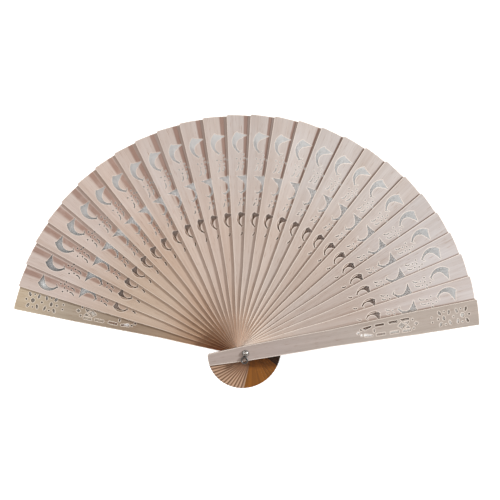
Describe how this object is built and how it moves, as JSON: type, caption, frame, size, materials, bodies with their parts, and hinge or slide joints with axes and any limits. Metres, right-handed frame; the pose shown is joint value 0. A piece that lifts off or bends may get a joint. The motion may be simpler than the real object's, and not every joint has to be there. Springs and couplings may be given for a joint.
{
  "type": "folding fan",
  "caption": "Handheld folding fan of thin pierced wooden blades between two thicker guards, turning on a rivet, strung on a ribbon.",
  "frame": {"origin": "on the rivet's axis, in the plane of the rear guard's back, which the open fan lies on", "axes": "+Z from the back of the fan to its front along the rivet, +Y up the middle of the open fan, +X to the side of the front guard"},
  "size_m": [0.3429, 0.2017, 0.0295],
  "materials": {
    "guard_wood": "matt, sanded",
    "blade_wood": "matt, sanded",
    "ribbon": "satin",
    "rivet_metal": "polished",
    "eye_metal": "darkened"
  },
  "bodies": {
    "rear_guard_body": {"rear_guard": "guard_wood", "rivet": "rivet_metal"},
    "blade_01_body": {"blade_01": "blade_wood", "ribbon_01": "ribbon"},
    "blade_02_body": {"blade_02": "blade_wood", "ribbon_02": "ribbon"},
    "blade_03_body": {"blade_03": "blade_wood", "ribbon_03": "ribbon"},
    "blade_04_body": {"blade_04": "blade_wood", "ribbon_04": "ribbon"},
    "blade_05_body": {"blade_05": "blade_wood", "ribbon_05": "ribbon"},
    "blade_06_body": {"blade_06": "blade_wood", "ribbon_06": "ribbon"},
    "blade_07_body": {"blade_07": "blade_wood", "ribbon_07": "ribbon"},
    "blade_08_body": {"blade_08": "blade_wood", "ribbon_08": "ribbon"},
    "blade_09_body": {"blade_09": "blade_wood", "ribbon_09": "ribbon"},
    "blade_10_body": {"blade_10": "blade_wood", "ribbon_10": "ribbon"},
    "blade_11_body": {"blade_11": "blade_wood", "ribbon_11": "ribbon"},
    "blade_12_body": {"blade_12": "blade_wood", "ribbon_12": "ribbon"},
    "blade_13_body": {"blade_13": "blade_wood", "ribbon_13": "ribbon"},
    "blade_14_body": {"blade_14": "blade_wood", "ribbon_14": "ribbon"},
    "blade_15_body": {"blade_15": "blade_wood", "ribbon_15": "ribbon"},
    "blade_16_body": {"blade_16": "blade_wood", "ribbon_16": "ribbon"},
    "blade_17_body": {"blade_17": "blade_wood", "ribbon_17": "ribbon"},
    "blade_18_body": {"blade_18": "blade_wood", "ribbon_18": "ribbon"},
    "blade_19_body": {"blade_19": "blade_wood", "ribbon_19": "ribbon"},
    "blade_20_body": {"blade_20": "blade_wood", "ribbon_20": "ribbon"},
    "blade_21_body": {"blade_21": "blade_wood", "ribbon_21": "ribbon"},
    "blade_22_body": {"blade_22": "blade_wood", "ribbon_22": "ribbon"},
    "blade_23_body": {"blade_23": "blade_wood", "ribbon_23": "ribbon"},
    "blade_24_body": {"blade_24": "blade_wood", "ribbon_24": "ribbon"},
    "blade_25_body": {"blade_25": "blade_wood", "ribbon_25": "ribbon"},
    "blade_26_body": {"blade_26": "blade_wood", "ribbon_26": "ribbon"},
    "front_guard_body": {"front_guard": "guard_wood", "ribbon_27": "ribbon"},
    "eye_body": {"hanging_eye": "eye_metal"}
  },
  "joints": [
    {"name": "fan_close", "type": "hinge", "parent": "rear_guard_body", "child": "front_guard_body", "pos_m": [0, 0, 0.0267], "axis": [0, 0, 1], "range_deg": [0, 157]},
    {"name": "blade_01_turn", "type": "hinge", "parent": "rear_guard_body", "child": "blade_01_body", "pos_m": [0, 0, 0.0026], "axis": [0, 0, 1], "range_deg": [0, 5.83]},
    {"name": "blade_02_turn", "type": "hinge", "parent": "rear_guard_body", "child": "blade_02_body", "pos_m": [0, 0, 0.0035], "axis": [0, 0, 1], "range_deg": [0, 11.64]},
    {"name": "blade_03_turn", "type": "hinge", "parent": "rear_guard_body", "child": "blade_03_body", "pos_m": [0, 0, 0.0044], "axis": [0, 0, 1], "range_deg": [0, 17.46]},
    {"name": "blade_04_turn", "type": "hinge", "parent": "rear_guard_body", "child": "blade_04_body", "pos_m": [0, 0, 0.0053], "axis": [0, 0, 1], "range_deg": [0, 23.27]},
    {"name": "blade_05_turn", "type": "hinge", "parent": "rear_guard_body", "child": "blade_05_body", "pos_m": [0, 0, 0.0062], "axis": [0, 0, 1], "range_deg": [0, 29.09]},
    {"name": "blade_06_turn", "type": "hinge", "parent": "rear_guard_body", "child": "blade_06_body", "pos_m": [0, 0, 0.0071], "axis": [0, 0, 1], "range_deg": [0, 34.9]},
    {"name": "blade_07_turn", "type": "hinge", "parent": "rear_guard_body", "child": "blade_07_body", "pos_m": [0, 0, 0.008], "axis": [0, 0, 1], "range_deg": [0, 40.72]},
    {"name": "blade_08_turn", "type": "hinge", "parent": "rear_guard_body", "child": "blade_08_body", "pos_m": [0, 0, 0.0089], "axis": [0, 0, 1], "range_deg": [0, 46.53]},
    {"name": "blade_09_turn", "type": "hinge", "parent": "rear_guard_body", "child": "blade_09_body", "pos_m": [0, 0, 0.0098], "axis": [0, 0, 1], "range_deg": [0, 52.35]},
    {"name": "blade_10_turn", "type": "hinge", "parent": "rear_guard_body", "child": "blade_10_body", "pos_m": [0, 0, 0.0107], "axis": [0, 0, 1], "range_deg": [0, 58.16]},
    {"name": "blade_11_turn", "type": "hinge", "parent": "rear_guard_body", "child": "blade_11_body", "pos_m": [0, 0, 0.0116], "axis": [0, 0, 1], "range_deg": [0, 63.98]},
    {"name": "blade_12_turn", "type": "hinge", "parent": "rear_guard_body", "child": "blade_12_body", "pos_m": [0, 0, 0.0125], "axis": [0, 0, 1], "range_deg": [0, 69.79]},
    {"name": "blade_13_turn", "type": "hinge", "parent": "rear_guard_body", "child": "blade_13_body", "pos_m": [0, 0, 0.0134], "axis": [0, 0, 1], "range_deg": [0, 75.61]},
    {"name": "blade_14_turn", "type": "hinge", "parent": "rear_guard_body", "child": "blade_14_body", "pos_m": [0, 0, 0.0143], "axis": [0, 0, 1], "range_deg": [0, 81.42]},
    {"name": "blade_15_turn", "type": "hinge", "parent": "rear_guard_body", "child": "blade_15_body", "pos_m": [0, 0, 0.0152], "axis": [0, 0, 1], "range_deg": [0, 87.24]},
    {"name": "blade_16_turn", "type": "hinge", "parent": "rear_guard_body", "child": "blade_16_body", "pos_m": [0, 0, 0.0161], "axis": [0, 0, 1], "range_deg": [0, 93.05]},
    {"name": "blade_17_turn", "type": "hinge", "parent": "rear_guard_body", "child": "blade_17_body", "pos_m": [0, 0, 0.017], "axis": [0, 0, 1], "range_deg": [0, 98.87]},
    {"name": "blade_18_turn", "type": "hinge", "parent": "rear_guard_body", "child": "blade_18_body", "pos_m": [0, 0, 0.0179], "axis": [0, 0, 1], "range_deg": [0, 104.68]},
    {"name": "blade_19_turn", "type": "hinge", "parent": "rear_guard_body", "child": "blade_19_body", "pos_m": [0, 0, 0.0188], "axis": [0, 0, 1], "range_deg": [0, 110.5]},
    {"name": "blade_20_turn", "type": "hinge", "parent": "rear_guard_body", "child": "blade_20_body", "pos_m": [0, 0, 0.0197], "axis": [0, 0, 1], "range_deg": [0, 116.31]},
    {"name": "blade_21_turn", "type": "hinge", "parent": "rear_guard_body", "child": "blade_21_body", "pos_m": [0, 0, 0.0206], "axis": [0, 0, 1], "range_deg": [0, 122.13]},
    {"name": "blade_22_turn", "type": "hinge", "parent": "rear_guard_body", "child": "blade_22_body", "pos_m": [0, 0, 0.0215], "axis": [0, 0, 1], "range_deg": [0, 127.94]},
    {"name": "blade_23_turn", "type": "hinge", "parent": "rear_guard_body", "child": "blade_23_body", "pos_m": [0, 0, 0.0224], "axis": [0, 0, 1], "range_deg": [0, 133.76]},
    {"name": "blade_24_turn", "type": "hinge", "parent": "rear_guard_body", "child": "blade_24_body", "pos_m": [0, 0, 0.0233], "axis": [0, 0, 1], "range_deg": [0, 139.57]},
    {"name": "blade_25_turn", "type": "hinge", "parent": "rear_guard_body", "child": "blade_25_body", "pos_m": [0, 0, 0.0242], "axis": [0, 0, 1], "range_deg": [0, 145.39]},
    {"name": "blade_26_turn", "type": "hinge", "parent": "rear_guard_body", "child": "blade_26_body", "pos_m": [0, 0, 0.0251], "axis": [0, 0, 1], "range_deg": [0, 151.2]},
    {"name": "eye_swing", "type": "hinge", "parent": "rear_guard_body", "child": "eye_body", "pos_m": [0, 0, 0.028], "axis": [0, 0, 1], "range_deg": [-75, 75]}
  ],
  "couplings": [
    {"joint": "blade_01_turn", "follows": "fan_close", "ratio": 0.037037},
    {"joint": "blade_02_turn", "follows": "fan_close", "ratio": 0.074074},
    {"joint": "blade_03_turn", "follows": "fan_close", "ratio": 0.11111},
    {"joint": "blade_04_turn", "follows": "fan_close", "ratio": 0.14815},
    {"joint": "blade_05_turn", "follows": "fan_close", "ratio": 0.18518},
    {"joint": "blade_06_turn", "follows": "fan_close", "ratio": 0.22222},
    {"joint": "blade_07_turn", "follows": "fan_close", "ratio": 0.25926},
    {"joint": "blade_08_turn", "follows": "fan_close", "ratio": 0.2963},
    {"joint": "blade_09_turn", "follows": "fan_close", "ratio": 0.33333},
    {"joint": "blade_10_turn", "follows": "fan_close", "ratio": 0.37037},
    {"joint": "blade_11_turn", "follows": "fan_close", "ratio": 0.40741},
    {"joint": "blade_12_turn", "follows": "fan_close", "ratio": 0.44444},
    {"joint": "blade_13_turn", "follows": "fan_close", "ratio": 0.48148},
    {"joint": "blade_14_turn", "follows": "fan_close", "ratio": 0.51852},
    {"joint": "blade_15_turn", "follows": "fan_close", "ratio": 0.55556},
    {"joint": "blade_16_turn", "follows": "fan_close", "ratio": 0.59259},
    {"joint": "blade_17_turn", "follows": "fan_close", "ratio": 0.62963},
    {"joint": "blade_18_turn", "follows": "fan_close", "ratio": 0.66667},
    {"joint": "blade_19_turn", "follows": "fan_close", "ratio": 0.7037},
    {"joint": "blade_20_turn", "follows": "fan_close", "ratio": 0.74074},
    {"joint": "blade_21_turn", "follows": "fan_close", "ratio": 0.77778},
    {"joint": "blade_22_turn", "follows": "fan_close", "ratio": 0.81481},
    {"joint": "blade_23_turn", "follows": "fan_close", "ratio": 0.85185},
    {"joint": "blade_24_turn", "follows": "fan_close", "ratio": 0.88889},
    {"joint": "blade_25_turn", "follows": "fan_close", "ratio": 0.92593},
    {"joint": "blade_26_turn", "follows": "fan_close", "ratio": 0.96296}
  ]
}
